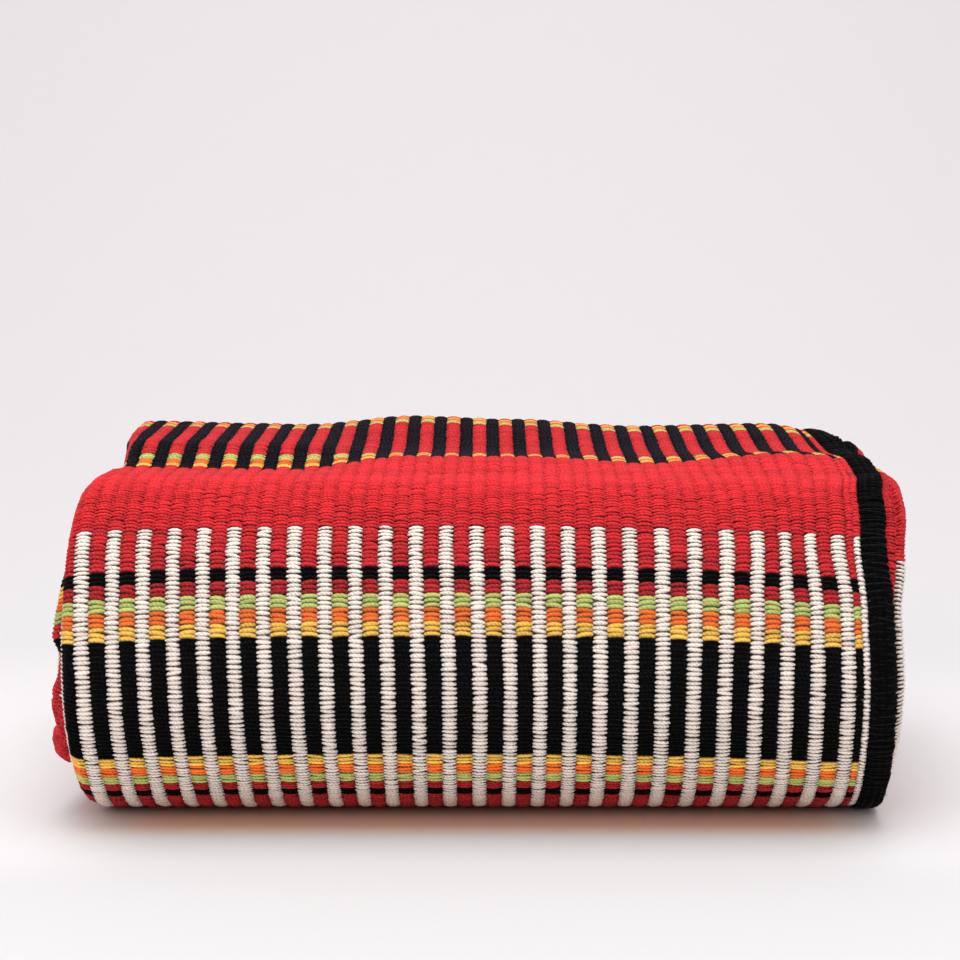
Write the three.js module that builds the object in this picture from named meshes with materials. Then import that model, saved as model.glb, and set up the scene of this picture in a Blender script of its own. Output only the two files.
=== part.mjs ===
// A ribbed wool throw blanket, folded for the shelf: in thirds across its width, like a letter,
// and then in half three times along its length, so that eight layers lie on each other.
// Millimetres, +Z up. The round front fold faces -Y, the ribs run along the length, and the
// origin is at the bottom centre, on the surface that the blanket lies on.
import * as THREE from "three";

// The cloth is a thick weft-faced weave: a row of round ribs with a groove between each two.
// RIB_COUNT is how many of them the third that shows has between its edge and its fold.
const CLOTH_THICKNESS = 5.2;
const RIB_COUNT = 52;
const GROOVE_DEPTH = 0.9;

// The three thirds of the width lie SHEET_PITCH apart and the eight layers LAYER_PITCH apart.
const SHEET_PITCH = 7;
const LAYER_PITCH = 21.8;
const LAYER_COUNT = 8;

// The free edge of the third that is tucked in, from the start of the fold around it.
const TUCKED_GAP = 5;

// A wool edging is sewn over the long edge that shows.
const BINDING_WIDTH = 13;
const BINDING_THICKNESS = 6;
const BINDING_CHAMFER = 2;
const SEWN_GAP = 0.3;

// How finely the folds across the width are cut, on their outer and their inner side.
const LOOSE_FOLD_STEPS = [5, 3];
const TIGHT_FOLD_STEPS = [4, 2];

const HALF_CLOTH = CLOTH_THICKNESS / 2;
const LAYER_HALF = SHEET_PITCH + HALF_CLOTH;
const STACK_HEIGHT = (LAYER_COUNT - 1) * LAYER_PITCH + 2 * LAYER_HALF;

// The length of the blanket from one hem to the other, a row for each run and turn. Layer 1 is
// on top. One run goes from the back to the front and the next one from the front to the back.
// back: how far behind the centre of the front turns a run ends, at its hem or its back turn.
// steps: how many stretches a turn is cut into. ribbed: whether the outer face shows.
// left, right: X of the outside of the folds across the width. edge: X of the binding's outside.
const LENGTHWISE = [
  { run: 6, back: 215, left: -199, right: 204, edge: 194 },
  { turn: "front", steps: 8, left: -202, right: 202, edge: 195 },
  { run: 3, back: 185, left: -200, right: 205, edge: 197 },
  { turn: "back", steps: 4, left: -197, right: 206, edge: 196 },
  { run: 2, back: 185, left: -199, right: 205, edge: 196 },
  { turn: "front", steps: 8, left: -211, right: 202, edge: 194 },
  { run: 7, back: 205, left: -208, right: 204, edge: 197 },
  { turn: "back", steps: 4, left: -198, right: 207, edge: 200 },
  { run: 8, back: 205, left: -190, right: 192, edge: 207 },
  { turn: "front", steps: 10, ribbed: true, left: -203.5, right: 210.5, edge: 203 },
  { run: 1, back: 185, ribbed: true, left: -198, right: 211, edge: 204 },
  { turn: "back", steps: 6, ribbed: true, left: -202, right: 206, edge: 203 },
  { run: 4, back: 185, left: -200, right: 205, edge: 198 },
  { turn: "front", steps: 4, left: -203, right: 203, edge: 195 },
  { run: 5, back: 218, left: -201, right: 205, edge: 196 },
];

// Humps and hollows in the top of the stack: how much the topmost face is lifted where these
// lines across and along it meet. The lower layers follow less, and the lowest one not at all.
const LIFT_X = [-205, -100, -40, 20, 90, 165, 208];
const LIFTS = [
  { y: 0, lift: [0, 0, 0, 0, 0, 0, 0] },
  { y: 45, lift: [-1, -1.5, 5.5, 5.5, 2, 7.5, 4.5] },
  { y: 95, lift: [0, 0, 1.5, 1, 0, 1, -1] },
  { y: 185, lift: [11, 10.5, 15.5, 13.5, 9.5, 11, 5] },
];
const RUN_Y = LIFTS.map((row) => row.y).slice(0, -1);

const layerHeight = (layer) => LAYER_HALF + (LAYER_COUNT - layer) * LAYER_PITCH;

// Stations along the length, each with its row of the table, its place in the YZ plane, the
// direction (ny, nz) in which the outer third of the width lies, and the length so far.
function lengthwiseStations() {
  const stations = [];
  const add = (row, y, z, ty, tz) => {
    const last = stations.at(-1);
    const length = last ? last.length + Math.hypot(y - last.y, z - last.z) : 0;
    stations.push({ row, y, z, ny: -tz, nz: ty, length });
  };
  LENGTHWISE.forEach((row, i) => {
    const before = LENGTHWISE[i - 1];
    if (row.run) {
      const places = [...RUN_Y, row.back];
      const heading = before?.turn === "front" ? 1 : -1;
      const ordered = heading > 0 ? places : places.reverse();
      ordered.forEach((y) => add(row, y, layerHeight(row.run), heading, 0));
      return;
    }
    const rise = layerHeight(LENGTHWISE[i + 1].run) - layerHeight(before.run);
    const centreZ = layerHeight(before.run) + rise / 2;
    const centreY = row.turn === "front" ? 0 : before.back;
    const out = row.turn === "front" ? -1 : 1;
    const radius = Math.abs(rise / 2);
    const up = Math.sign(rise);
    for (let k = 1; k < row.steps; k++) {
      const sin = Math.sin((Math.PI * k) / row.steps);
      const cos = Math.cos((Math.PI * k) / row.steps);
      add(row, centreY + out * radius * sin, centreZ - up * radius * cos, out * cos, up * sin);
    }
  });
  return stations;
}

// Says where the face that shows is ribbed. It also takes the ribs' points at the stations on
// either side, without the grooves, so that the ribs run out evenly.
function placeRibs(stations) {
  stations.forEach((station, i) => {
    station.grooveDepth = station.row.ribbed ? GROOVE_DEPTH : 0;
    station.fine = [-1, 0, 1].some((step) => stations[i + step]?.row.ribbed);
  });
  return stations;
}

// Gives each station the ends of its layer, easing from the middle of one row to the next.
function placeEnds(stations) {
  const knots = LENGTHWISE.map((row) => {
    const own = stations.filter((station) => station.row === row);
    return { row, length: (own[0].length + own.at(-1).length) / 2 };
  });
  for (const station of stations) {
    const after = knots.findIndex((knot) => knot.length > station.length);
    const to = knots.at(after);
    const from = after > 0 ? knots[after - 1] : to;
    const span = to.length - from.length || 1;
    const part = THREE.MathUtils.smoothstep((station.length - from.length) / span, 0, 1);
    for (const end of ["left", "right", "edge"]) {
      station[end] = THREE.MathUtils.lerp(from.row[end], to.row[end], part);
    }
  }
  return stations;
}

// Where a value lies in a rising list: the place before it and the share of the way to the next.
function between(list, value) {
  const k = THREE.MathUtils.clamp(list.findLastIndex((at) => at <= value), 0, list.length - 2);
  return { k, part: THREE.MathUtils.clamp((value - list[k]) / (list[k + 1] - list[k]), 0, 1) };
}

// Lays a point of the level stack onto the humps and hollows. The layers keep their order,
// because a point is lifted in proportion to its height.
function settled(x, y, z) {
  const across = between(LIFT_X, x);
  const along = between(LIFTS.map((row) => row.y), y);
  const liftOn = ({ lift }) => THREE.MathUtils.lerp(lift[across.k], lift[across.k + 1], across.part);
  const lift = THREE.MathUtils.lerp(liftOn(LIFTS[along.k]), liftOn(LIFTS[along.k + 1]), along.part);
  return new THREE.Vector3(x, y, Math.max(0, z * (1 + lift / STACK_HEIGHT)));
}

// A stretch of a sheet's face from one X to another, at one distance out of the layer's middle.
// It has a point at each of the lines across the stack, so that all faces settle alike.
function face(from, to, out) {
  const inner = LIFT_X.slice(1, -1);
  const places = [from, ...(from < to ? inner : inner.reverse())];
  return places.map((x) => ({ x, out }));
}

// The same stretch with its ribs raised: a crest in the middle of each and grooves between.
function ribbedFace(from, to, out, grooveDepth) {
  const count = 2 * RIB_COUNT;
  return Array.from({ length: count }, (_, k) => {
    const depth = k % 2 === 0 ? grooveDepth : 0;
    return { x: THREE.MathUtils.lerp(from, to, k / count), out: out - depth };
  });
}

// A fold of a sheet around (x, out), through the degrees from one angle to another.
function bend(x, out, radius, from, to, steps) {
  return Array.from({ length: steps }, (_, k) => {
    const angle = THREE.MathUtils.degToRad(THREE.MathUtils.lerp(from, to, k / steps));
    return { x: x + radius * Math.cos(angle), out: out + radius * Math.sin(angle) };
  });
}

// The outline of the three sheets at a station, from the edge that shows, once around. The outer
// sheet turns into the lowest one at the left, and that into the tucked-in one at the right.
function clothOutline({ left, right, edge, fine, grooveDepth }) {
  const outer = SHEET_PITCH;
  const turn = SHEET_PITCH / 2;
  const free = edge - BINDING_WIDTH - SEWN_GAP;
  const leftFlat = left + outer + HALF_CLOTH;
  const rightFlat = right - turn - HALF_CLOTH;
  const tucked = leftFlat + TUCKED_GAP;
  const showing = fine ? ribbedFace : face;
  return numbered([
    showing(free, leftFlat, outer + HALF_CLOTH, grooveDepth),
    bend(leftFlat, 0, outer + HALF_CLOTH, 90, 270, LOOSE_FOLD_STEPS[0]),
    face(leftFlat, rightFlat, -outer - HALF_CLOTH),
    bend(rightFlat, -turn, turn + HALF_CLOTH, -90, 90, TIGHT_FOLD_STEPS[0]),
    face(rightFlat, tucked, HALF_CLOTH),
    [{ x: tucked, out: HALF_CLOTH }],
    face(tucked, rightFlat, -HALF_CLOTH),
    bend(rightFlat, -turn, turn - HALF_CLOTH, 90, -90, TIGHT_FOLD_STEPS[1]),
    face(rightFlat, leftFlat, HALF_CLOTH - outer),
    bend(leftFlat, 0, outer - HALF_CLOTH, 270, 90, LOOSE_FOLD_STEPS[1]),
    face(leftFlat, free, outer - HALF_CLOTH),
    [{ x: free, out: outer - HALF_CLOTH }],
  ]);
}

// The outline of the binding: a flat bar with its corners taken off, beside the cloth's edge.
function bindingOutline({ edge }) {
  const wide = BINDING_WIDTH / 2;
  const thick = BINDING_THICKNESS / 2;
  const cut = BINDING_CHAMFER;
  const corners = [
    [wide, thick - cut], [wide - cut, thick], [cut - wide, thick], [-wide, thick - cut],
    [-wide, cut - thick], [cut - wide, -thick], [wide - cut, -thick], [wide, cut - thick],
  ];
  return numbered([corners.map(([x, out]) => ({ x: edge - wide + x, out: SHEET_PITCH + out }))]);
}

// Marks each point with the number of its stretch plus the share of the stretch behind it.
function numbered(stretches) {
  return stretches.flatMap((points, number) =>
    points.map((point, k) => ({ ...point, mark: number + k / points.length })),
  );
}

// Joins two closed rows of points into a band of triangles. Where one row is finer than the
// other, the marks say which of the two goes on to its next point. Where they are alike, X and
// the heading along Y do, so that the faces above each other are cut along the same diagonals.
function zip(a, b, heading, triangles) {
  const nextMark = (row, k) => row[k + 1]?.mark ?? Infinity;
  let i = 0;
  let j = 0;
  while (i < a.length || j < b.length) {
    const here = a[i % a.length];
    const opposite = b[j % b.length];
    const lead = a[(i + 1) % a.length];
    const alike = nextMark(a, i) === nextMark(b, j);
    const ahead = alike ? (lead.x - here.x) * heading > 0 : nextMark(a, i) < nextMark(b, j);
    const onA = j === b.length || (i < a.length && ahead);
    const next = onA ? a[++i % a.length] : b[++j % b.length];
    triangles.push(here.index, opposite.index, next.index);
  }
}

// A closed solid: an outline carried along the stations, with a flat cap at each hem.
function carriedAlong(stations, outlineAt) {
  const points = [];
  const triangles = [];
  const rows = stations.map((station) =>
    outlineAt(station).map((point) => {
      const y = station.y + station.ny * point.out;
      const z = station.z + station.nz * point.out;
      return { ...point, index: points.push(settled(point.x, y, z)) - 1 };
    }),
  );
  for (let k = 1; k < rows.length; k++) {
    zip(rows[k - 1], rows[k], stations[k].y - stations[k - 1].y, triangles);
  }
  const cap = (row) => {
    const contour = row.map(({ x, out }) => new THREE.Vector2(x, out));
    const corners = THREE.ShapeUtils.triangulateShape(contour, []);
    return corners.map((triangle) => triangle.map((k) => row[k].index));
  };
  cap(rows[0]).forEach((triangle) => triangles.push(...triangle));
  cap(rows.at(-1)).forEach((triangle) => triangles.push(...triangle.reverse()));
  return new THREE.BufferGeometry().setFromPoints(points).setIndex(triangles);
}

const wool = (color) => new THREE.MeshStandardMaterial({ color, roughness: 0.95, metalness: 0 });

function piece(name, geometry, material) {
  const mesh = new THREE.Mesh(geometry, material);
  mesh.name = name;
  return mesh;
}

const stations = placeRibs(placeEnds(lengthwiseStations()));
const blanket = new THREE.Group();
blanket.add(piece("blanket_cloth", carriedAlong(stations, clothOutline), wool(0xb3202a)));
blanket.add(piece("edge_binding", carriedAlong(stations, bindingOutline), wool(0x15151a)));

// The fold is laid out from the centre of its front turns. Its origin is its bottom centre.
const middle = new THREE.Box3().setFromObject(blanket).getCenter(new THREE.Vector3());
blanket.position.set(-middle.x, -middle.y, 0);

export default blanket;
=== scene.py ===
# %% [markdown]
# # A wool throw, folded for the shelf
# The object is one long blanket of ribbed wool cloth. It is folded in thirds across its
# width, then in half three times along its length, and one long edge is bound in black wool.
# The CAD model gives its size and its folds. Here every yarn that shows is laid on that fold,
# because a picture of yarn on a smooth sheet goes flat as soon as the light comes from the side.

# %% Load the shared frame
import math
import bpy
import numpy as np
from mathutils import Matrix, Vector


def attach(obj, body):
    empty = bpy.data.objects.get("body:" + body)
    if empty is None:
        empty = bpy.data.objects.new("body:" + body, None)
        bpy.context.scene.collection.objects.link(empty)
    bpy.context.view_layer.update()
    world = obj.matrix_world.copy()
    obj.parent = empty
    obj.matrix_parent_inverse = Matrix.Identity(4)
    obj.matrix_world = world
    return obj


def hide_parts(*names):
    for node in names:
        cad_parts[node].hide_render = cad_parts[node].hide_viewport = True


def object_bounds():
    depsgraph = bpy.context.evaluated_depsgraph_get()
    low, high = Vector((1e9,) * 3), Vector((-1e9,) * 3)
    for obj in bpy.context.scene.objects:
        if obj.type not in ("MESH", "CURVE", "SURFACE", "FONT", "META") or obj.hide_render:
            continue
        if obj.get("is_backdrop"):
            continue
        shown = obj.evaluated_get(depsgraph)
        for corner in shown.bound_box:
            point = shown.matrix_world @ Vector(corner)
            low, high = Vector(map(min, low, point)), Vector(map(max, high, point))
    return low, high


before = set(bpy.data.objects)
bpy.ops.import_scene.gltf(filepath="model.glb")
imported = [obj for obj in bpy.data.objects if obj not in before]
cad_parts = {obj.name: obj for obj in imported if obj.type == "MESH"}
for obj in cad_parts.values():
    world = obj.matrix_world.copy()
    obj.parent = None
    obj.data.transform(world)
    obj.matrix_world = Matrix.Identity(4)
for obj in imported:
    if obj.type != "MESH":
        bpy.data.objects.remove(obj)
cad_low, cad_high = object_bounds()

print("CAD box in metres:", [round(v, 4) for v in (*cad_low, *cad_high)])

# %% [markdown]
# ## The camera
# The blanket was photographed from a little above, with a long lens from just over a metre away.
# The camera comes first, so every later step can be looked at from the same place.

# %% Camera
camera_data = bpy.data.cameras.new("camera")
camera_data.sensor_width = 36
camera_data.lens = 92.7
camera = bpy.data.objects.new("camera", camera_data)
camera.location = (0, -1.3372, 0.3093)
camera.rotation_euler = (math.radians(83.7), 0, 0)
bpy.context.scene.collection.objects.link(camera)
bpy.context.scene.camera = camera
print("camera", tuple(camera.location), "lens", camera_data.lens)

# %% [markdown]
# ## The fold along the length
# A blanket folded in half three times is one strip that runs back and forth through eight layers.
# Each row below is either a flat run in one layer or a half-round turn between two layers.
# All lengths are in millimetres until a mesh is made. A row also holds where the left fold, the
# right fold and the bound edge lie, because no hand folds every layer to the same line.

# %% Rows of the fold
LAYER_PITCH = 21.8
LAYER_HALF = 9.6
STACK_HEIGHT = 171.8
FOLD_ROWS = np.array([
    # layer, next layer, back end or turn centre, left fold, right fold, bound edge
    (6, 6, 215, -199, 204, 194),
    (6, 3, 0, -202, 202, 195),
    (3, 3, 185, -200, 205, 197),
    (3, 2, 185, -197, 206, 196),
    (2, 2, 185, -199, 205, 196),
    (2, 7, 0, -211, 202, 194),
    (7, 7, 205, -208, 204, 197),
    (7, 8, 205, -198, 207, 200),
    (8, 8, 205, -196.5, 194, 207),
    (8, 1, 0, -205.5, 210.5, 203),
    (1, 1, 185, -202, 212, 204),
    (1, 4, 185, -206, 207, 203),
    (4, 4, 185, -200, 205, 198),
    (4, 5, 0, -203, 203, 195),
    (5, 5, 218, -201, 205, 196),
])
FRONT_TURN, BACK_TURN, LOWER_BACK_TURN, INNER_BACK_TURN = 9, 11, 7, 3
OUTER_THIRD = 7.0
from_z = LAYER_HALF + (8 - FOLD_ROWS[:, 0]) * LAYER_PITCH
to_z = LAYER_HALF + (8 - FOLD_ROWS[:, 1]) * LAYER_PITCH
turn_radius = np.abs(to_z - from_z) / 2
is_turn = turn_radius > 0
row_length = np.where(is_turn, math.pi * (turn_radius + OUTER_THIRD), FOLD_ROWS[:, 2])
row_start = np.concatenate([[0], np.cumsum(row_length)[:-1]])
row_middle = row_start + row_length / 2
cloth_length = row_length.sum()
print("length along the outer third:", round(cloth_length), "mm in", len(FOLD_ROWS), "rows")

# %% [markdown]
# ## A point along the strip
# `along` turns a length on the cloth into a place on the fold and the direction that the outer
# third faces there. A run is a straight line and a turn is half a circle, so whole arrays of lengths
# go through at once. Runs head to the front and to the back in turn.

# %% Where a length of cloth lies
row_heading = np.where((np.arange(len(FOLD_ROWS)) // 2) % 2 == 0, -1.0, 1.0)
turn_out = np.where(FOLD_ROWS[:, 2] > 0, 1.0, -1.0)
turn_up = np.sign(to_z - from_z)
run_begin = np.where(row_heading < 0, FOLD_ROWS[:, 2], 0.0)


def along(length):
    """Place (y, z) and outward direction (y, z) of the strip at a length: a run moves straight
    along its heading, and a turn goes through half a circle about the middle of its two layers."""
    row = np.clip(np.searchsorted(row_start, length, side="right") - 1, 0, len(FOLD_ROWS) - 1)
    share = (length - row_start[row]) / row_length[row]
    angle = math.pi * np.clip(share, 0, 1)
    radius = turn_radius[row]
    turn_y = FOLD_ROWS[row, 2] + turn_out[row] * radius * np.sin(angle)
    turn_z = (from_z + to_z)[row] / 2 - turn_up[row] * radius * np.cos(angle)
    run_y = run_begin[row] + row_heading[row] * share * row_length[row]
    step_y = np.where(is_turn[row], turn_out[row] * np.cos(angle), row_heading[row])
    step_z = np.where(is_turn[row], turn_up[row] * np.sin(angle), 0.0)
    y = np.where(is_turn[row], turn_y, run_y)
    z = np.where(is_turn[row], turn_z, from_z[row])
    return y, z, -step_z, step_y


def ease(share):
    """Smooth step: a share from 0 to 1 that leaves and arrives at rest."""
    share = np.clip(share, 0, 1)
    return share * share * (3 - 2 * share)


def eased(knots, values, at):
    """Values between knots, each step taken smoothly; beyond the ends the last value holds."""
    knot = np.clip(np.searchsorted(knots, at) - 1, 0, len(knots) - 2)
    share = ease((at - knots[knot]) / (knots[knot + 1] - knots[knot]))[..., None]
    return values[knot] + (values[knot + 1] - values[knot]) * share


front_y = float(along(row_middle[FRONT_TURN])[0])
print("front of the stack at y =", round(front_y, 1), "mm from the turn centre")

# %% [markdown]
# ## Lumpy folds
# A soft fold is not a straight line. The front turn inside the outermost one bulges out at the left in a few
# lobes, and the right fold puffs out over the shoulder of the front. A short list of waves adds that to the
# rows, each placed by its share of a row.

# %% Fold lines with their waves
WAVE_ROWS = [
    # row, share of it, added to the left fold, to the right fold and to the bound edge
    (5, 0.17, 0, 0, 0), (5, 0.33, -1.5, 0, 0), (5, 0.43, -2.5, 0, 0), (5, 0.49, 0.8, 0, 0),
    (5, 0.53, 0, 0, 0), (5, 0.60, -3, 0, 0), (5, 0.65, -4, 0, 0), (5, 0.72, -3, 0, 0),
    (5, 0.78, -6.5, 0, 0), (5, 0.84, -8.5, 0, 0), (5, 1.00, -6, 0, 0), (6, 0.30, 0, 0, 0),
    (9, 0.17, 0, 0, 0), (9, 0.44, 0, -2, 0), (9, 0.61, 0, -3.5, -1.5), (9, 0.72, 0, -0.5, -3.2),
    (9, 0.86, 0, 3, -1), (10, 0.05, 0, 4.5, 4), (10, 0.20, 1.5, 4, 3.5), (10, 0.33, 8, 4, 3),
    (10, 0.53, 6, 5, 2.2), (10, 0.75, 1, 9, 2), (11, 0.50, 0, 1, 0),
]
wave_row, wave_share, *wave_shift = np.array(WAVE_ROWS, dtype=float).T
wave_at = row_start[wave_row.astype(int)] + wave_share * row_length[wave_row.astype(int)]
waves = np.stack(wave_shift, axis=-1)


def fold_lines(length):
    """Left fold, right fold and bound edge at a length, eased from the middle of row to row, with waves."""
    lines = eased(row_middle, FOLD_ROWS[:, 3:], length) + eased(wave_at, waves, length)
    return lines[..., 0], lines[..., 1], lines[..., 2]


left_line = fold_lines(np.linspace(0, cloth_length, 2000))[0]
print("left fold at its furthest:", round(float(left_line.min()), 1), "mm")

# %% [markdown]
# ## The fold across the width
# Across its width the cloth is folded like a letter: the outer third, a round fold at the left, the
# back third, a tighter fold at the right, and the third that lies inside. One distance measured on the
# cloth says where a point is, and the same formula serves the ground cloth and each yarn on it.

# %% Where a width of cloth lies
LEFT_RADIUS = 7.0
RIGHT_RADIUS = 4.6
CLOTH_HALF = 2.6


def across(width, left_flat, right_flat):
    """Place (x, outward) and facing (x, outward) in the letter fold. The width is 0 where the left
    fold begins: below 0 lies the outer third, then half a circle, the back third, half a circle and
    the inner third, each met by clipping the width to its own stretch."""
    left_turn = np.clip(width, 0, math.pi * LEFT_RADIUS) / LEFT_RADIUS
    rest = width - math.pi * LEFT_RADIUS
    back_run = np.clip(rest, 0, right_flat - left_flat)
    rest = rest - (right_flat - left_flat)
    right_turn = np.clip(rest, 0, math.pi * RIGHT_RADIUS) / RIGHT_RADIUS
    inner_run = np.maximum(rest - math.pi * RIGHT_RADIUS, 0)
    x = left_flat - np.minimum(width, 0) - LEFT_RADIUS * np.sin(left_turn)
    x = x + back_run + RIGHT_RADIUS * np.sin(right_turn) - inner_run
    outward = LEFT_RADIUS * np.cos(left_turn) + RIGHT_RADIUS * (1 - np.cos(right_turn))
    turned = left_turn + right_turn
    return x, outward, -np.sin(turned), np.cos(turned)


print("cloth round the two folds:", round(math.pi * LEFT_RADIUS, 1), round(math.pi * RIGHT_RADIUS, 1), "mm")

# %% [markdown]
# ## How the stack has settled
# A pile of wool is never level: this one is higher at the back, has a soft crest behind its front
# edge and dips in between. A small table of lifts holds that, blended with smooth steps so the
# surface has no creases. The lift grows with the height, so the layers below take their share.

# %% The lift of the pile
LIFT_X = np.array([-205, -100, -40, 20, 90, 165, 207, 214.0])
LIFT_Y = np.array([0, 45, 95, 185.0])
LIFTS = np.array([
    (0, 0, 0, 0, 0, 0, 0, 5),
    (0.2, -1.5, 5.5, 5.5, 2, 7.5, 4.5, 5),
    (11, 8.5, 4.5, 3, 3.5, 4, 3, 3),
    (12.5, 10.5, 15.5, 13.5, 9.5, 11, 6, 2.0),
])
PUFF = 6.5
PUFF_AT = (212, 140)
PUFF_SPREAD = (7, 20)
STACK_LEFT = -211.0
STACK_FRONT = -86.3
ON_FLOOR = 0.05
ROW_SHIFT = (cad_low[0] * 1000 - STACK_LEFT, cad_low[1] * 1000 - STACK_FRONT)


def settle(x, y, z):
    """Adds the lift of the pile and moves to the shared frame: the table is blended by a smooth
    step in x and in y, with a bell-shaped puff at the right fold, and a point takes the share of
    the lift that its height has in the stack."""
    column = np.clip(np.searchsorted(LIFT_X, x) - 1, 0, len(LIFT_X) - 2)
    row = np.clip(np.searchsorted(LIFT_Y, y) - 1, 0, len(LIFT_Y) - 2)
    u = ease((x - LIFT_X[column]) / (LIFT_X[column + 1] - LIFT_X[column]))
    v = ease((y - LIFT_Y[row]) / (LIFT_Y[row + 1] - LIFT_Y[row]))
    near = LIFTS[row, column] * (1 - u) + LIFTS[row, column + 1] * u
    far = LIFTS[row + 1, column] * (1 - u) + LIFTS[row + 1, column + 1] * u
    puff_x, puff_y = ((p - at) / spread for p, at, spread in zip((x, y), PUFF_AT, PUFF_SPREAD))
    lift = near * (1 - v) + far * v + PUFF * np.exp(-puff_x ** 2 - puff_y ** 2)
    height = np.maximum(z * (1 + lift / STACK_HEIGHT), ON_FLOOR)
    return np.stack([x + ROW_SHIFT[0], y + ROW_SHIFT[1], height], axis=-1)


def on_cloth(width, length, height):
    """A point on the folded cloth: its width in the letter fold, its length along the strip, and its
    height above the middle of the cloth on the outer face."""
    left, right, _ = fold_lines(length)
    x, outward, face_x, face_out = across(width, left + LEFT_RADIUS + CLOTH_HALF,
                                          right - RIGHT_RADIUS - CLOTH_HALF)
    y, z, out_y, out_z = along(length)
    outward = outward + height * face_out
    return settle(x + height * face_x, y + out_y * outward, z + out_z * outward)


print("row shift in mm:", [round(v, 2) for v in ROW_SHIFT])

# %% [markdown]
# ## The stripes
# The weaver threads two sheds. One lifts the ribs that show undyed at the front, the other the ribs
# that show the stripes between them, so each pick of weft colours every second rib. A band is a list of
# picks for each shed, and between the bands both sheds are red. Bands repeat along the blanket, counted in
# picks from the middle of the band at the front. A few spare picks let lagging ribs reach the hem.

# %% Bands of weft, pick by pick
YARNS = ["red", "black", "undyed", "green", "orange", "yellow"]
RED, BLACK, UNDYED, GREEN, ORANGE, YELLOW = range(6)
PICK = 2.296
FRONT_EDGE = [(11, RED), (3, BLACK), (3, RED), (3, GREEN), (3, ORANGE), (3, YELLOW)]
FRONT_BAND = ([(79, UNDYED)], FRONT_EDGE + [(27, BLACK)] + FRONT_EDGE[::-1])
TOP_HALF = [(3, RED), (2, YELLOW), (3, ORANGE), (3, GREEN), (40, RED), (3, GREEN), (3, ORANGE), (2, YELLOW)]
TOP_BAND = (TOP_HALF + [(4, RED)] + TOP_HALF[::-1], [(122, BLACK)])
BANDS = [(-625, FRONT_BAND), (-475, TOP_BAND), (-324, FRONT_BAND), (-163, TOP_BAND),
         (0, FRONT_BAND), (146, TOP_BAND), (299, FRONT_BAND)]
FRONT_BAND_ANGLE = math.radians(79.6)
SPARE_PICKS = 9
band_middle = row_start[FRONT_TURN] + FRONT_BAND_ANGLE * (turn_radius[FRONT_TURN] + OUTER_THIRD)
first_pick = -int(band_middle / PICK)
last_pick = int((cloth_length - band_middle) / PICK) + SPARE_PICKS
shed_colour = np.full((2, last_pick - first_pick + 1), RED)
for middle, sheds in BANDS:
    for shed, stripes in enumerate(sheds):
        colours = np.repeat([c for _, c in stripes], [n for n, _ in stripes])
        begin = middle - len(colours) // 2 - first_pick
        shed_colour[shed, begin:begin + len(colours)] = colours
print("picks in the blanket:", shed_colour.shape[1] - SPARE_PICKS)

# %% [markdown]
# ## Ribs that wander, picks that bow
# On a hand loom nothing stays quite straight. The ribs lean in a little towards the bottom of the front,
# and every pick droops towards both edges. Both are small, but without them the front looks printed.

# %% Drift of the ribs and bow of the picks
DRIFT_X = np.array([-190, -100, 0, 60, 140, 180.0])
DRIFT_SHARE = [0.22, 0.44, 0.63, 0.74, 1.15]
DRIFTS = np.array([
    (4.2, 2.5, 0, -1, 0.5, 0.5),
    (2.5, 1.1, 0.4, -1.2, -0.7, -0.5),
    (1.3, -0.3, -0.8, -1.4, 0.5, 0.3),
    (0, -1.3, -1.5, -1.4, 2.4, -0.8),
    (0, 0, 0, 0, 0, 0.0),
])
BESIDE_EDGE = (120, 180)
drift_at = row_start[FRONT_TURN] + np.array(DRIFT_SHARE) * row_length[FRONT_TURN]


def drift(width, length):
    """Sideways shift of a rib: the table's rows are eased along the front, then blended across, and towards
    the bound edge the ribs take part in its waves."""
    rows = eased(drift_at, DRIFTS, length)
    column = np.clip(np.searchsorted(DRIFT_X, width) - 1, 0, len(DRIFT_X) - 2)
    share = ease((width - DRIFT_X[column]) / (DRIFT_X[column + 1] - DRIFT_X[column]))
    near = np.take_along_axis(rows, column[..., None], axis=-1)[..., 0]
    far = np.take_along_axis(rows, column[..., None] + 1, axis=-1)[..., 0]
    inside = (length > row_start[FRONT_TURN - 1]) & (length < row_start[BACK_TURN + 1])
    beside = ease((width - BESIDE_EDGE[0]) / (BESIDE_EDGE[1] - BESIDE_EDGE[0]))
    return (near * (1 - share) + far * share) * inside + eased(wave_at, waves, length)[..., 2] * beside


BOW_LEFT, BOW_RIGHT = 195.0, 188.0
DROOP_LEFT, DROOP_MIDDLE, DROOP_RIGHT = 3.8, 0.6, 6.5


def bow(width):
    """Droop of a pick: the cube of the distance to the left, the square of it to the right."""
    to_left, to_right = np.maximum(-width / BOW_LEFT, 0), np.maximum(width / BOW_RIGHT, 0)
    return DROOP_MIDDLE + DROOP_LEFT * to_left ** 3 + DROOP_RIGHT * to_right ** 2


droops = np.round(bow(np.array([-BOW_LEFT, 0.0, BOW_RIGHT])), 1)
print("droop at the left, middle and right:", droops.tolist(), "mm")

# %% [markdown]
# ## Wool, as shader nodes
# Every yarn is the same dyed wool in another colour, so what they share is one node group: each yarn is
# a little lighter or darker than the next, and fine fibre mottles it. The group gives a colour and a bump
# height; sheen and roughness are set on each shader. First come its sockets and helpers that add nodes.

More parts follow.
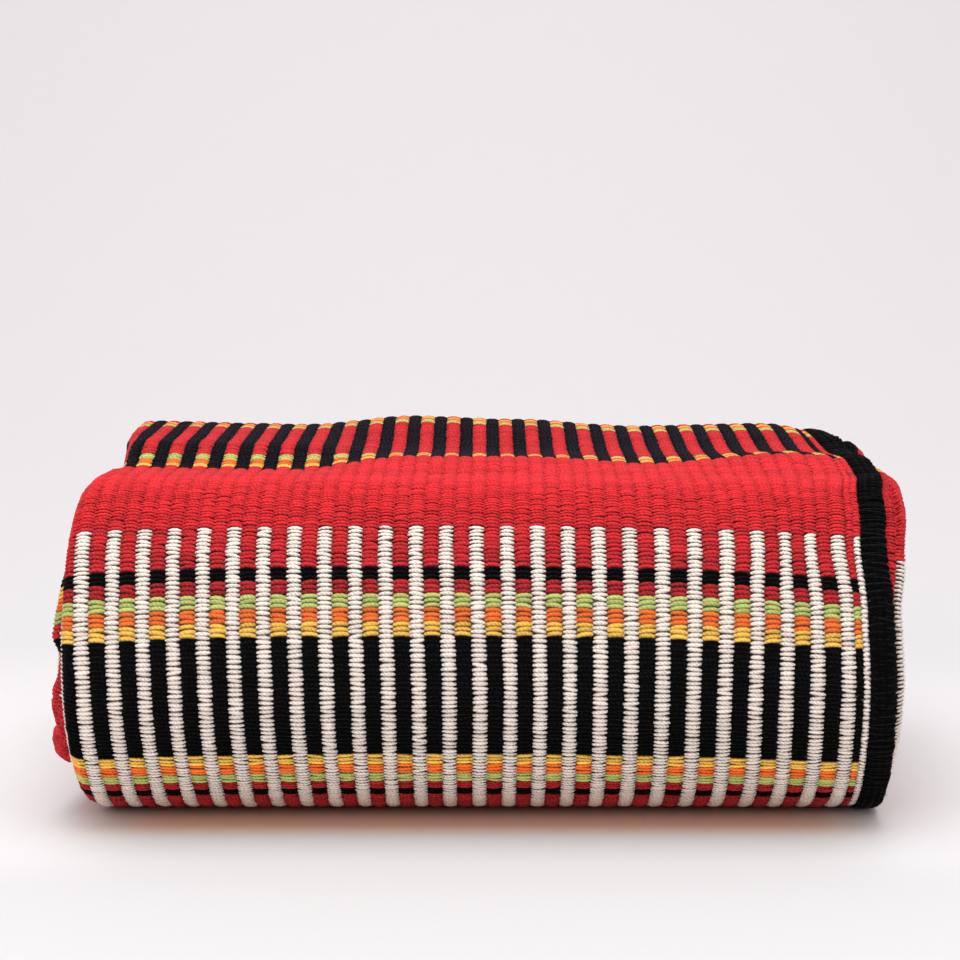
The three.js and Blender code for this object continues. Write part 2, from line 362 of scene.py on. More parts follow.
# %% Node group for spun wool
wool = bpy.data.node_groups.new("spun_wool", "ShaderNodeTree")
wool.interface.new_socket(name="Dye", in_out="INPUT", socket_type="NodeSocketColor")
wool.interface.new_socket(name="Lint", in_out="INPUT", socket_type="NodeSocketColor")
wool.interface.new_socket(name="Groove Shade", in_out="INPUT", socket_type="NodeSocketFloat")
wool.interface.new_socket(name="Color", in_out="OUTPUT", socket_type="NodeSocketColor")
wool.interface.new_socket(name="Height", in_out="OUTPUT", socket_type="NodeSocketFloat")


def node(tree, kind, **values):
    """Adds a node and sets its input sockets by name and its own properties."""
    made = tree.nodes.new(kind)
    for name, value in values.items():
        if hasattr(made, name):
            setattr(made, name, value)
        else:
            made.inputs[name.replace("_", " ")].default_value = value
    return made


def math_node(tree, operation, first, second):
    """A math node of two values, each a socket or a number."""
    made = node(tree, "ShaderNodeMath", operation=operation)
    for socket, value in zip(made.inputs, (first, second)):
        if isinstance(value, (int, float)):
            socket.default_value = value
        else:
            tree.links.new(value, socket)
    return made.outputs[0]


def mix_node(tree, factor, first, second):
    """A colour mixed from first to second by a factor, each a socket or a colour."""
    made = node(tree, "ShaderNodeMix", data_type="RGBA")
    tree.links.new(factor, made.inputs["Factor"])
    for socket, value in zip([s for s in made.inputs if s.type == "RGBA"], (first, second)):
        if isinstance(value, tuple):
            socket.default_value = (*value, 1)
        else:
            tree.links.new(value, socket)
    return next(s for s in made.outputs if s.type == "RGBA")


print("spun_wool sockets:", [socket.name for socket in wool.interface.items_tree])

# %% [markdown]
# ## What the group does
# Two plies wind round each other, so a sine of the turn lightens and darkens the yarn, a painted shade of the
# plies, and lifts its bump. The sixth power of the place across the yarn paints shade on the thin line where
# two yarns touch. Loose fibre lies on top as specks of lint.

# %% Nodes of spun wool
group_in = node(wool, "NodeGroupInput")
group_out = node(wool, "NodeGroupOutput")
shade = node(wool, "ShaderNodeAttribute", attribute_name="shade").outputs["Fac"]
place = node(wool, "ShaderNodeTexCoord")
fibre = node(wool, "ShaderNodeTexNoise", Scale=1300.0, Detail=3.0, Roughness=0.65)
wool.links.new(place.outputs["Object"], fibre.inputs["Vector"])
ply_map = node(wool, "ShaderNodeSeparateXYZ")
wool.links.new(place.outputs["UV"], ply_map.inputs[0])
ply_turn = math_node(wool, "ADD", ply_map.outputs[0], ply_map.outputs[1])
ply_wave = math_node(wool, "SINE", math_node(wool, "MULTIPLY", ply_turn, 2 * math.pi), 0)
mottle = math_node(wool, "MULTIPLY", math_node(wool, "SUBTRACT", fibre.outputs["Fac"], 0.5), 1.3)
light = math_node(wool, "ADD", math_node(wool, "MULTIPLY", shade, 0.5), 0.75)
light = math_node(wool, "ADD", light, math_node(wool, "MULTIPLY", ply_wave, 0.12))
light = math_node(wool, "ADD", light, mottle)
# Painted shade: the yarn is darkened towards the thin line where it touches the next one.
ply_side = math_node(wool, "ABSOLUTE", math_node(wool, "MULTIPLY", ply_map.outputs[1], 2), 0)
groove_shade = math_node(wool, "POWER", ply_side, 6)
light = math_node(wool, "SUBTRACT", light, math_node(wool, "MULTIPLY", groove_shade, group_in.outputs["Groove Shade"]))
light = math_node(wool, "MAXIMUM", light, 0.06)
tint = node(wool, "ShaderNodeHueSaturation")
wool.links.new(group_in.outputs["Dye"], tint.inputs["Color"])
wool.links.new(light, tint.inputs["Value"])
loose = node(wool, "ShaderNodeTexNoise", Scale=2600.0, Detail=1.0)
wool.links.new(place.outputs["Object"], loose.inputs["Vector"])
lint_share = node(wool, "ShaderNodeMapRange")
for socket, value in (("From Min", 0.56), ("From Max", 0.72), ("To Max", 0.5)):
    lint_share.inputs[socket].default_value = value
wool.links.new(loose.outputs["Fac"], lint_share.inputs["Value"])
linty = mix_node(wool, lint_share.outputs["Result"], tint.outputs["Color"], group_in.outputs["Lint"])
wool.links.new(linty, group_out.inputs["Color"])
ridge = math_node(wool, "ADD", math_node(wool, "MULTIPLY", ply_wave, 0.6), fibre.outputs["Fac"])
wool.links.new(ridge, group_out.inputs["Height"])
print("spun_wool has", len(wool.nodes), "nodes")

# %% [markdown]
# ## Dyes
# The colours are plain: a madder-like red, soft black, undyed white, and small stripes of green,
# orange and yellow. Wool scatters light at its loose fibres, so each shader has some sheen in a paler tone of
# its dye and hardly any gloss. The groove shade is painted shade: how dark a yarn is made where it dips
# against
# the next one. On the pile's top, and the back with it, the black is a paler black with more sheen and lint:
# painted light, where black wool lies uppermost under the lamps.

# %% Materials
DYES = {
    "red": (0.67, 0.024, 0.031),
    "black": (0.0014, 0.0013, 0.0013),
    "undyed": (0.87, 0.765, 0.685),
    "green": (0.47, 0.53, 0.15),
    "orange": (0.88, 0.165, 0.022),
    "yellow": (0.95, 0.55, 0.085),
}
# A paler black for the top of the pile, with more sheen and lint: painted light.
PAINTED_SHEEN_BLACK = (0.0032, 0.0026, 0.0042)
SHEEN = {"red": 0.25, "black": 0.035, "undyed": 0.2, "green": 0.5, "orange": 0.5, "yellow": 0.5}
GROOVE_SHADE = {"red": 0.85, "black": 1.0, "undyed": 0.55, "green": 1.6, "orange": 1.6, "yellow": 1.5}


def wool_material(name, dye, sheen, groove_shade, lint=0.012):
    """A wool shader: the spun wool group gives Base Color and bump, the rest are set values. Lint is the
    dye a little paler, and the sheen takes three parts of the dye's hue to one of white."""
    material = bpy.data.materials.new(name)
    material.use_nodes = True
    tree = material.node_tree
    shader = tree.nodes["Principled BSDF"]
    shader.inputs["Roughness"].default_value = 0.92
    shader.inputs["Specular IOR Level"].default_value = 0.03 if max(dye) < 0.01 else 0.06
    shader.inputs["Sheen Weight"].default_value = sheen
    shader.inputs["Sheen Tint"].default_value = (*(0.25 + 0.75 * c / max(dye) for c in dye), 1)
    shader.inputs["Sheen Roughness"].default_value = 0.45
    yarn = node(tree, "ShaderNodeGroup", node_tree=wool)
    yarn.inputs["Dye"].default_value = (*dye, 1)
    yarn.inputs["Lint"].default_value = (*(min(0.95, lint + c + 0.14 * max(dye)) for c in dye), 1)
    yarn.inputs["Groove Shade"].default_value = groove_shade
    bump = node(tree, "ShaderNodeBump", Strength=0.7, Distance=0.0003)
    tree.links.new(yarn.outputs["Color"], shader.inputs["Base Color"])
    tree.links.new(yarn.outputs["Height"], bump.inputs["Height"])
    tree.links.new(bump.outputs["Normal"], shader.inputs["Normal"])
    return material


wool_of = {name: wool_material("wool_" + name, DYES[name], SHEEN[name], GROOVE_SHADE[name]) for name in YARNS}
painted_sheen_black = wool_material("wool_painted_sheen_black", PAINTED_SHEEN_BLACK, 0.065, 1.0, lint=0.05)
print("wool materials:", list(wool_of), "and", painted_sheen_black.name)

# %% [markdown]
# ## From arrays to a mesh
# A mesh with hundreds of thousands of corners is filled with `foreach_set`, which takes whole arrays.
# The signed volume of a closed shape tells whether its faces look outward; if not, all are turned round.

# %% Mesh helper
def make_piece(name, points, faces, material, shade=None, ply=None):
    """Makes a smooth closed mesh from points in millimetres and faces of one corner count. Shade is a
    value for each point, ply the turn of the plies (along, round) at each point."""
    corner = points[faces]
    volume = np.einsum("ij,ij->i", corner[:, 0], np.cross(corner[:, 1], corner[:, 2])).sum()
    if faces.shape[1] == 4:
        volume += np.einsum("ij,ij->i", corner[:, 0], np.cross(corner[:, 2], corner[:, 3])).sum()
    if volume < 0:
        faces = faces[:, ::-1]
    mesh = bpy.data.meshes.new(name)
    mesh.vertices.add(len(points))
    mesh.vertices.foreach_set("co", (points * 0.001).astype(np.float32).ravel())
    mesh.loops.add(faces.size)
    mesh.loops.foreach_set("vertex_index", faces.astype(np.int32).ravel())
    mesh.polygons.add(len(faces))
    mesh.polygons.foreach_set("loop_start", np.arange(0, faces.size, faces.shape[1], dtype=np.int32))
    mesh.update(calc_edges=True)
    mesh.polygons.foreach_set("use_smooth", np.ones(len(faces), dtype=bool))
    if shade is not None:
        mesh.attributes.new("shade", "FLOAT", "POINT").data.foreach_set("value", shade.astype(np.float32))
    if ply is not None:
        mesh.uv_layers.new(name="ply").data.foreach_set("uv", ply[faces.ravel()].astype(np.float32).ravel())
    mesh.materials.append(material)
    piece = bpy.data.objects.new(name, mesh)
    bpy.context.scene.collection.objects.link(piece)
    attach(piece, "root")
    print(name, len(points), "points,", len(faces) * (faces.shape[1] - 2), "triangles")
    return piece


# %% [markdown]
# ## The ground cloth
# Under the yarns lies the cloth itself: a sheet with two faces that follows the whole fold, hidden thirds
# included. It is a grid, stations along the length by columns round the section. Where yarns will cover it,
# it stays low, and everywhere else it rises to the height of the yarns, with ribs of its own.

# %% Columns and stations of the ground cloth
RIB = 7.5
RIB_OFFSET = -0.5
TUCKED_GAP = 5.0
EDGE_SEAM = 13.3
LAST_COLUMN = 14.5
BACK_STEPS, INNER_STEPS = 10, 9
rib_columns = RIB_OFFSET + RIB / 2 * np.arange(-63, 48)
right_columns = np.arange(-22, 38, RIB / 2)


def ground_widths(length):
    """Widths of all columns at a length, from the bound edge to the tucked edge: fixed ribs on the outer
    third and left fold, even steps on the hidden thirds, and ribs tied to the right fold."""
    left, right, edge = (v[:, None] for v in fold_lines(length))
    left_flat = left + LEFT_RADIUS + CLOTH_HALF
    span = right - RIGHT_RADIUS - CLOTH_HALF - left_flat
    ribs = np.broadcast_to(rib_columns[::-1], (len(length), len(rib_columns)))
    ribs = ribs + drift(ribs, np.broadcast_to(length[:, None], ribs.shape))
    ribs = np.minimum(ribs, edge - LAST_COLUMN)
    outer = left_flat - np.concatenate([edge - EDGE_SEAM, ribs], axis=1)
    fold = math.pi * LEFT_RADIUS + span + right_columns[None, :]
    end = math.pi * LEFT_RADIUS + span + math.pi * RIGHT_RADIUS + span - TUCKED_GAP
    step = np.linspace(0, 1, BACK_STEPS)[None, 1:-1]
    back = outer[:, -1:] + (fold[:, :1] - outer[:, -1:]) * step
    inner = fold[:, -1:] + (end - fold[:, -1:]) * np.linspace(0, 1, INNER_STEPS)[None, 1:]
    return np.concatenate([outer, back, fold, inner], axis=1)


TURN_STEP, RUN_STEP, TURN_STATIONS = 9.0, 24.0, 12
turn_stations = np.maximum(TURN_STATIONS, row_length / TURN_STEP)
station_counts = np.where(is_turn, turn_stations, row_length / RUN_STEP).astype(int)
stations = np.concatenate([np.linspace(s, s + n, c, endpoint=False)
                           for s, n, c in zip(row_start, row_length, station_counts)] + [[cloth_length]])
widths = ground_widths(stations)
print("ground cloth grid:", widths.shape)

# %% [markdown]
# ## Which lengths the yarns cover
# Yarns are laid where the cloth can be seen: over the front, the top and the back, round the lower back,
# and along every fold at both ends of the stack. Elsewhere the ground cloth's own ribs do.

# %% Cover and the ground cloth's faces
FRONT_BEGIN = row_start[FRONT_TURN] - 25
HEM_VIEW = 30
COVERED_HEIGHT, BARE_HEIGHT, RIB_RISE, INNER_HEIGHT = 0.2, 1.5, 0.9, -1.8


def in_view(length):
    """True on the stretches of the outer third that can be seen from outside."""
    front_to_back = (length > FRONT_BEGIN) & (length < row_start[BACK_TURN + 1] + 20)
    lower_back = (length > row_start[LOWER_BACK_TURN] - 15) & (length < row_start[LOWER_BACK_TURN + 1] + 15)
    inner_back = (length > row_start[INNER_BACK_TURN] - 12) & (length < row_start[INNER_BACK_TURN + 1] + 12)
    hems = (length < HEM_VIEW) | (length > cloth_length - HEM_VIEW)
    return front_to_back | lower_back | inner_back | hems


fold_zone = widths > -6
covered = in_view(stations)[:, None] | fold_zone
column_wave = 0.5 + 0.5 * np.cos(math.pi * np.arange(widths.shape[1]))[None, :]
outer_height = np.where(covered, COVERED_HEIGHT, BARE_HEIGHT) + RIB_RISE * column_wave
lengths = np.broadcast_to(stations[:, None], widths.shape)
outer_face = on_cloth(widths, lengths, outer_height)
inner_face = on_cloth(widths, lengths, np.full(widths.shape, INNER_HEIGHT))
rows, columns = widths.shape
ring = np.concatenate([outer_face, inner_face[:, ::-1]], axis=1)
index = np.arange(rows * 2 * columns).reshape(rows, 2 * columns)


def tube_quads(grid):
    """Four-cornered faces of a tube: a grid of point numbers, stations by corners round the section."""
    beside = np.roll(grid, -1, axis=1)
    return np.stack([grid[:-1], beside[:-1], beside[1:], grid[1:]], axis=-1).reshape(-1, 4)


def end_strip(row, flip):
    """Faces that close the sheet at an end: a strip between its outer and its inner columns."""
    outer, inner = index[row, :columns], index[row, columns:][::-1]
    faces = np.stack([outer[:-1], inner[:-1], inner[1:], outer[1:]], axis=-1)
    return faces[:, ::-1] if flip else faces


ground_faces = np.concatenate([tube_quads(index), end_strip(0, True), end_strip(-1, False)])
print("ground cloth faces:", len(ground_faces))

# %% [markdown]
# ## The hems
# At both ends the cloth is turned over and sewn down, which leaves a firm roll. The photograph hides them,
# so this is the plainest hem that closes such a cloth: part of the sheet, with a twist in it, along the end
# of all three thirds.

# %% Hem rolls
HEM_RADIUS = 2.3
HEM_TWIST = 12.0
HEM_CORNERS = 10
HEM_STATIONS = 400
hem_cap = np.array([(0, 1, 2, 3), (0, 3, 4, 9), (4, 5, 8, 9), (5, 6, 7, 8)])


def hem_roll(end):
    """A closed roll round one end of the cloth: its radius swells and shrinks twice round the section, and
    the swelling turns steadily with the width. Gives points, faces and, for each point, how far down it lies
    in the twist, which later paints shade in the twist's valleys."""
    first, last = ground_widths(np.array([end]))[0, [0, -1]]
    at = np.linspace(first + 1, last - 1, HEM_STATIONS)[:, None]
    angle = np.linspace(0, 2 * math.pi, HEM_CORNERS, endpoint=False)[None, :]
    swell = np.cos(2 * angle - 2 * math.pi * at / HEM_TWIST)
    radius = HEM_RADIUS * (0.84 + 0.16 * swell)
    points = on_cloth(at + 0 * angle, end + radius * np.cos(angle), radius * np.sin(angle) - 0.3)
    grid = np.arange(at.size * HEM_CORNERS).reshape(-1, HEM_CORNERS)
    faces = np.concatenate([tube_quads(grid), grid[0][hem_cap][:, ::-1], grid[-1][hem_cap]])
    return points.reshape(-1, 3), faces, (0.22 - 0.22 * swell).ravel()


sheet_points, sheet_faces, hem_depths = [ring.reshape(-1, 3)], [ground_faces], []
for end in (0.0, cloth_length):
    hem_points, hem_faces, hem_depth = hem_roll(end)
    sheet_faces.append(hem_faces + sum(len(part) for part in sheet_points))
    sheet_points.append(hem_points)
    hem_depths.append(hem_depth)
print("hem faces:", [len(faces) for faces in sheet_faces[1:]])

# %% [markdown]
# ## The ground cloth's colours
# Between two yarns one looks into the cloth, deep in shade. The ground cloth therefore takes the stripe
# colours from an attribute, darkened as painted shade where yarns cover it, in a groove the darker of the two
# ribs beside it, with the same fibre. Elsewhere, on its inner face and on the hems it is a little darker than
# its dye.

# %% Ground colours
UNDER_YARN_PAINTED_SHADE, REST_DARKENING = 0.3, 0.85
pick_number = np.round((lengths - band_middle) / PICK).astype(int) - first_pick
pick_number = np.clip(pick_number, 0, shed_colour.shape[1] - 1)
shed_number = (np.arange(columns) // 2 % 2)[None, :]
dye_table = np.array([DYES[name] for name in YARNS])
ground_colour = dye_table[shed_colour[shed_number, pick_number]]
other_shed = dye_table[shed_colour[1 - shed_number, pick_number]]
in_groove = (np.arange(columns) % 2 == 1)[None, :] | (widths > 30)
ground_colour = np.where(in_groove[..., None], np.minimum(ground_colour, other_shed), ground_colour)
# Painted shade: the cloth is much darker where yarns cover it, and a little darker everywhere else.
under_yarn = ground_colour * np.where(covered, UNDER_YARN_PAINTED_SHADE, REST_DARKENING)[..., None]
ground_colour = np.concatenate([under_yarn, REST_DARKENING * ground_colour[:, ::-1]], axis=1).reshape(-1, 3)
hem_depth = np.concatenate(hem_depths)
hem_colour = np.tile(REST_DARKENING * dye_table[RED], (len(hem_depth), 1))
stripe_values = np.ones((len(ground_colour) + len(hem_depth), 4), dtype=np.float32)
stripe_values[:, :3] = np.concatenate([ground_colour, hem_colour])
print("coloured points:", len(stripe_values))

# %% [markdown]
# ## The ground cloth as a piece
# The attribute goes into the wool group in place of the dye. Sheet and hems are put in one mesh, because a
# hem is the same cloth, and that mesh takes the place of the CAD model's cloth.

# %% Ground material and piece
ground_wool = wool_material("wool_ground", (0.5, 0.5, 0.5), 0.05, 1.0)
ground_tree = ground_wool.node_tree
stripe = node(ground_tree, "ShaderNodeAttribute", attribute_name="stripe")
ground_group = next(n for n in ground_tree.nodes if n.type == "GROUP")
for socket in ("Dye", "Lint"):
    ground_tree.links.new(stripe.outputs["Color"], ground_group.inputs[socket])
# Painted shade: the hem's twist darkens its valleys through the groove shade.
twist = np.concatenate([np.zeros(len(ground_colour)), hem_depth])
ground = make_piece(
    "blanket_sheet", np.concatenate(sheet_points), np.concatenate(sheet_faces), ground_wool,
    shade=np.repeat([0.3, 0.1], [len(ground_colour), len(hem_depth)]),
    ply=np.stack([0 * twist, twist], axis=-1))
stripe_layer = ground.data.attributes.new("stripe", "FLOAT_COLOR", "POINT")
stripe_layer.data.foreach_set("color", stripe_values.ravel())
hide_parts("blanket_cloth")

# %% [markdown]
# ## One yarn float
# A float is the stretch of weft that passes over one rib: a short spindle that rises out of the groove,
# arches over the rib and dives into the next groove. It has four rings of three corners and two tips,
# enough for a round look at this size, and the same shape serves nearly thirty thousand times.

# %% Shape of a float
ring_place = np.array([-0.8, -0.3, 0.3, 0.8])
float_a = np.concatenate([[-1], np.repeat(ring_place, 3), [1]])
ring_side = np.tile([-1.0, 0.0, 1.0], 4)
float_side = np.concatenate([[0], ring_side, [0]])
arch = 0.3 + 1.65 * np.sqrt(1 - 0.93 * float_a ** 2)
ring_rise = np.where(ring_side == 0, 0.62, -0.42) * np.repeat(np.sqrt(1 - ring_place ** 4), 3)
float_rise = np.concatenate([[0], ring_rise, [0]])
corners = 1 + np.arange(12).reshape(4, 3)
after = np.roll(corners, -1, axis=1)
low_tip = np.stack([np.zeros(3, int), corners[0], after[0]], axis=-1)
high_tip = np.stack([np.full(3, 13), after[3], corners[3]], axis=-1)
side_one = np.stack([corners[:-1], corners[1:], after[1:]], axis=-1).reshape(-1, 3)
side_two = np.stack([corners[:-1], after[1:], after[:-1]], axis=-1).reshape(-1, 3)
float_faces = np.concatenate([low_tip, side_one, side_two, high_tip])
float_end = np.abs(float_a)
# float_light is painted light and shade: a float's crest a little lighter, its ends darker where it dives
# into the groove.
float_light = np.where(float_side == 0, 0.15, 0.0) - 0.25 * (float_end > 0.7) - 0.6 * (float_end > 0.9)
print("a float has", len(float_a), "points and", len(float_faces), "triangles")

# %% [markdown]
# ## Laying the yarns
# Each rib is listed by what it is tied to: the cloth's own width, the right fold, or the bound edge, where
# two narrow ribs end the cloth; a rib that meets those is made narrower. Every rib gets one float a pick, and
# neighbouring ribs are half a pick apart, as the two sheds are. A seeded generator makes each float a little
# uneven, as hand-spun yarn is.

# %% Ribs and floats
chance = np.random.default_rng(11)
CLOTH, RIGHT_FOLD, BOUND_EDGE = range(3)
rib_list = [(CLOTH, RIB_OFFSET + RIB * j, RIB / 2, j % 2) for j in range(-31, 25)]
fold_crown = math.pi * RIGHT_RADIUS / 2
rib_list += [(RIGHT_FOLD, -fold_crown - 2.5 - RIB * j, RIB / 2, j % 2) for j in range(-2, 3)]
NARROW_HALF = 1.85
rib_list += [(BOUND_EDGE, -18.4, NARROW_HALF, 1), (BOUND_EDGE, -14.9, NARROW_HALF, 0)]
ribs = np.array(rib_list, dtype=float)
pick_list = np.arange(first_pick + 1, last_pick)
rib_grid, pick_grid = (g.ravel() for g in np.meshgrid(np.arange(len(ribs)), pick_list, indexing="ij"))


def tied_width(kind, offset, length):
    """Width in the letter fold of a point at an offset from what its rib is tied to; a rib of the cloth also
    drifts."""
    left, right, edge = fold_lines(length)
    left_flat = left + LEFT_RADIUS + CLOTH_HALF
    fold_begin = math.pi * LEFT_RADIUS + right - RIGHT_RADIUS - CLOTH_HALF - left_flat
    tied = np.choose(kind.astype(int), [left_flat, fold_begin, left_flat - edge]) - offset
    return tied - np.where(kind == CLOTH, drift(offset, length), 0)


print("ribs:", len(ribs), "each with", len(pick_list), "picks")

# %% [markdown]
# ## The floats that show
# A rib runs the whole length of the blanket, but a float is kept only where it can be seen. Each float gets a
# shift of its shade that is painted shade and light: red is darker low on the front, in its narrow stripes,
# on the top and on the folds than on the lit nose of the pile, and the small stripes are lighter near the
# floor and a little darker higher up.

# %% Floats that show
FOLD_LAG = 18.0
CLOTH_END = 20.0
EDGE_LINE = 203
SLIMMEST = 0.9
FOLD_COVER = (-5, 30)
FROM_HEM = 1.3
kind, offset, half_width, shed = ribs[rib_grid].T
droop = np.choose(kind.astype(int), [bow(offset), np.full(len(kind), FOLD_LAG), bow(offset + EDGE_LINE)])
length = band_middle + (pick_grid + 0.5 * shed) * PICK - droop
overlap = offset + drift(offset, length) + half_width - (fold_lines(length)[2] - CLOTH_END)
overlap = np.maximum(overlap, 0) * (kind == CLOTH)
offset, half_width = offset - overlap / 2, half_width - overlap / 2
width = tied_width(kind, offset, length)
on_face = in_view(length) & (half_width > SLIMMEST)
on_fold = (width > FOLD_COVER[0]) & (width < FOLD_COVER[1])
wanted = np.where(kind == CLOTH, on_face | on_fold, np.where(kind == RIGHT_FOLD, True, in_view(length)))
wanted &= (length > FROM_HEM) & (length < cloth_length - FROM_HEM)
kind, offset, half_width, shed, length, pick_grid = (
    v[wanted] for v in (kind, offset, half_width, shed, length, pick_grid))
float_colour = shed_colour[shed.astype(int), pick_grid - first_pick]
print("floats:", len(length), dict(zip(YARNS, np.bincount(float_colour, minlength=6).tolist())))

# %% Painted shade and light on the floats
FOLD_PAINTED_SHADE = -0.4
STRIPE_PAINTED_LOW, STRIPE_PAINTED_HIGH = 0.3, -0.1
PAINTED_SHADE_PICKS = np.array([-70, -50, -25, 18, 26, 34, 40, 46, 80, 92.0])
PAINTED_SHADE_SHIFTS = np.array([-0.3, -0.95, -0.9, -0.75, -0.7, -0.45, -0.3, 0, 0, -0.35])[:, None]
# Painted shade on red floats by pick and on the folds; painted light on the small stripes low on the front.
on_ends = (kind == RIGHT_FOLD) | ~in_view(length)
painted_shade_shift = np.where(on_ends, FOLD_PAINTED_SHADE, eased(PAINTED_SHADE_PICKS, PAINTED_SHADE_SHIFTS, 1.0 * pick_grid)[:, 0])
stripe_painted_light = np.where(pick_grid < -15, STRIPE_PAINTED_LOW, STRIPE_PAINTED_HIGH) * in_view(length)
painted_shade_shift = np.choose(float_colour, [painted_shade_shift, 0 * painted_shade_shift, 0 * painted_shade_shift, stripe_painted_light, stripe_painted_light, stripe_painted_light])
print("shift of shade from", round(float(painted_shade_shift.min()), 2), "to", round(float(painted_shade_shift.max()), 2))

# %% [markdown]
# ## Yarn by yarn
# Undyed yarn lies as plump spindles that let the dark of the cloth in at their ends, while the dyed yarns are
# blunt and fill their rib. No two floats are alike: length, fullness, tilt and shade all vary a little.

# %% Points of the yarns
COMB_FULL, SPINDLE_FULL, BLUNT_FULL = 1.0, 1.28, 1.36
SPINDLE_REACH, BLUNT_REACH = 1.11, 1.25
PLY_TURN = 2.2
pick_shade = chance.random(shed_colour.shape[1])


def yarn_points(chosen):
    """Points, shade and ply of the chosen floats. Undyed floats are spindles, the others keep their width to
    the ends; each is stretched to its rib and pick, bent up in the middle and carried onto the cloth."""
    count = chosen.sum()
    uneven = chance.normal(size=(5, count, 1))
    undyed = (float_colour[chosen] == UNDYED)[:, None]
    spread = float_side * np.sqrt(1 - np.abs(float_a) ** np.where(undyed, 2.2, 6.0))
    comb = undyed & (kind[chosen] == RIGHT_FOLD)[:, None]
    fullness = np.where(comb, COMB_FULL, np.where(undyed, SPINDLE_FULL, BLUNT_FULL)) * (1 + 0.07 * uneven[0])
    reach = half_width[chosen][:, None] * (np.where(undyed, SPINDLE_REACH, BLUNT_REACH) + 0.05 * uneven[1])
    place = offset[chosen][:, None] + float_a * reach
    bend = np.where(undyed, 0.2, 0.75) * (0.45 - float_a ** 2)
    wobble = 0.28 * uneven[2] * float_a + 0.13 * uneven[3]
    station = length[chosen][:, None] + spread * fullness + bend + wobble
    narrow = np.minimum(half_width[chosen][:, None] / (RIB / 2) + 0.25, 1)
    proud = 0.1 * uneven[4] + np.where(undyed, 0.15, 0)
    height = (arch + float_rise * np.where(undyed, 0.8, 1)) * narrow + proud
    rib_kind = np.broadcast_to(kind[chosen][:, None], place.shape)
    points = on_cloth(tied_width(rib_kind, place, station), station, height).reshape(-1, 3)
    shade = 0.6 * chance.random(count) + 0.4 * pick_shade[pick_grid[chosen] - first_pick] - 0.5
    # The painted shade of each float is added to its random shade.
    shade = 0.5 + shade * np.where(undyed[:, 0], 0.55, 1) + painted_shade_shift[chosen]
    ply_side = np.broadcast_to(0.5 * float_side, place.shape)
    turn = np.stack([place / PLY_TURN + chance.random((count, 1)), ply_side], axis=-1).reshape(-1, 2)
    return points, (shade[:, None] + float_light).ravel(), turn


print("shades of the picks:", np.round(pick_shade[:4], 2).tolist(), "and so on")

# %% [markdown]
# ## Loose fibres
# Wool is never clean: single fibres stand off it, and along the right fold, where the undyed yarn is pulled
# round a tight bend, they stand like a comb. Each is a spike with three sides, which is enough for a hair.

# %% Hairs
HAIR_SHARE = 0.33
HAIR_ROOT = 2.0
HAIR_RISE, COMB_RISE = 0.9, 2.2
HAIR_LEAN = 0.8
hair_tip = np.array([0, 0, 0, 1.0])
hair_round = 2 * math.pi / 3 * np.array([0, 1, 2, 0.0])
hair_thick = 0.07 * (1 - hair_tip)
hair_faces = np.array([(0, 2, 1), (0, 1, 3), (1, 2, 3), (2, 0, 3)])


def loose_fibres(chosen):
    """Points of a thin hair on some of the chosen floats, and of three long ones on each undyed float at the
    right fold: a three-sided spike that leaves the float's crest and leans to a side."""
    number = np.flatnonzero(chosen)
    comb = np.repeat(number[(kind[number] == RIGHT_FOLD) & (float_colour[number] == UNDYED)], 3)
    number = np.concatenate([number[chance.random(len(number)) < HAIR_SHARE], comb])
    lean = chance.normal(size=(2, len(number), 1))
    root = offset[number][:, None] + half_width[number][:, None] * chance.uniform(-0.8, 0.8, (len(number), 1))
    long = np.arange(len(number)) >= len(number) - len(comb)
    rise = np.where(long, COMB_RISE, HAIR_RISE)[:, None] * chance.uniform(0.3, 1.5, (len(number), 1))
    place = root + HAIR_LEAN * lean[0] * hair_tip + hair_thick * np.cos(hair_round)
    station = length[number][:, None] + HAIR_LEAN * lean[1] * hair_tip + hair_thick * np.sin(hair_round)
    hair_kind = np.broadcast_to(kind[number][:, None], place.shape)
    tied = tied_width(hair_kind, place, station)
    return on_cloth(tied, station, HAIR_ROOT + rise * hair_tip).reshape(-1, 3)


def turned_alike(hairs):
    """Hairs all turned the same way: where the four points of a hair are of the other hand than most, which
    the sign of its volume tells, two corners of its base change places."""
    hairs = hairs.reshape(-1, 4, 3)
    sides = hairs[:, 1:] - hairs[:, :1]
    volume = np.einsum("ij,ij->i", sides[:, 0], np.cross(sides[:, 1], sides[:, 2]))
    wrong = volume * np.median(volume) < 0
    return np.where(wrong[:, None, None], hairs[:, [0, 2, 1, 3]], hairs).reshape(-1, 3)


print("a hair has", len(hair_faces), "triangles")

# %% [markdown]
# ## Floats by colour
# All floats of one colour are one mesh, because a yarn of one colour is one thing to a weaver and a
# single mesh is quicker to draw than thousands of objects. Red and black are split where their count gets
# large: the front, the rest of the outside, and the folds at both ends of the pile.

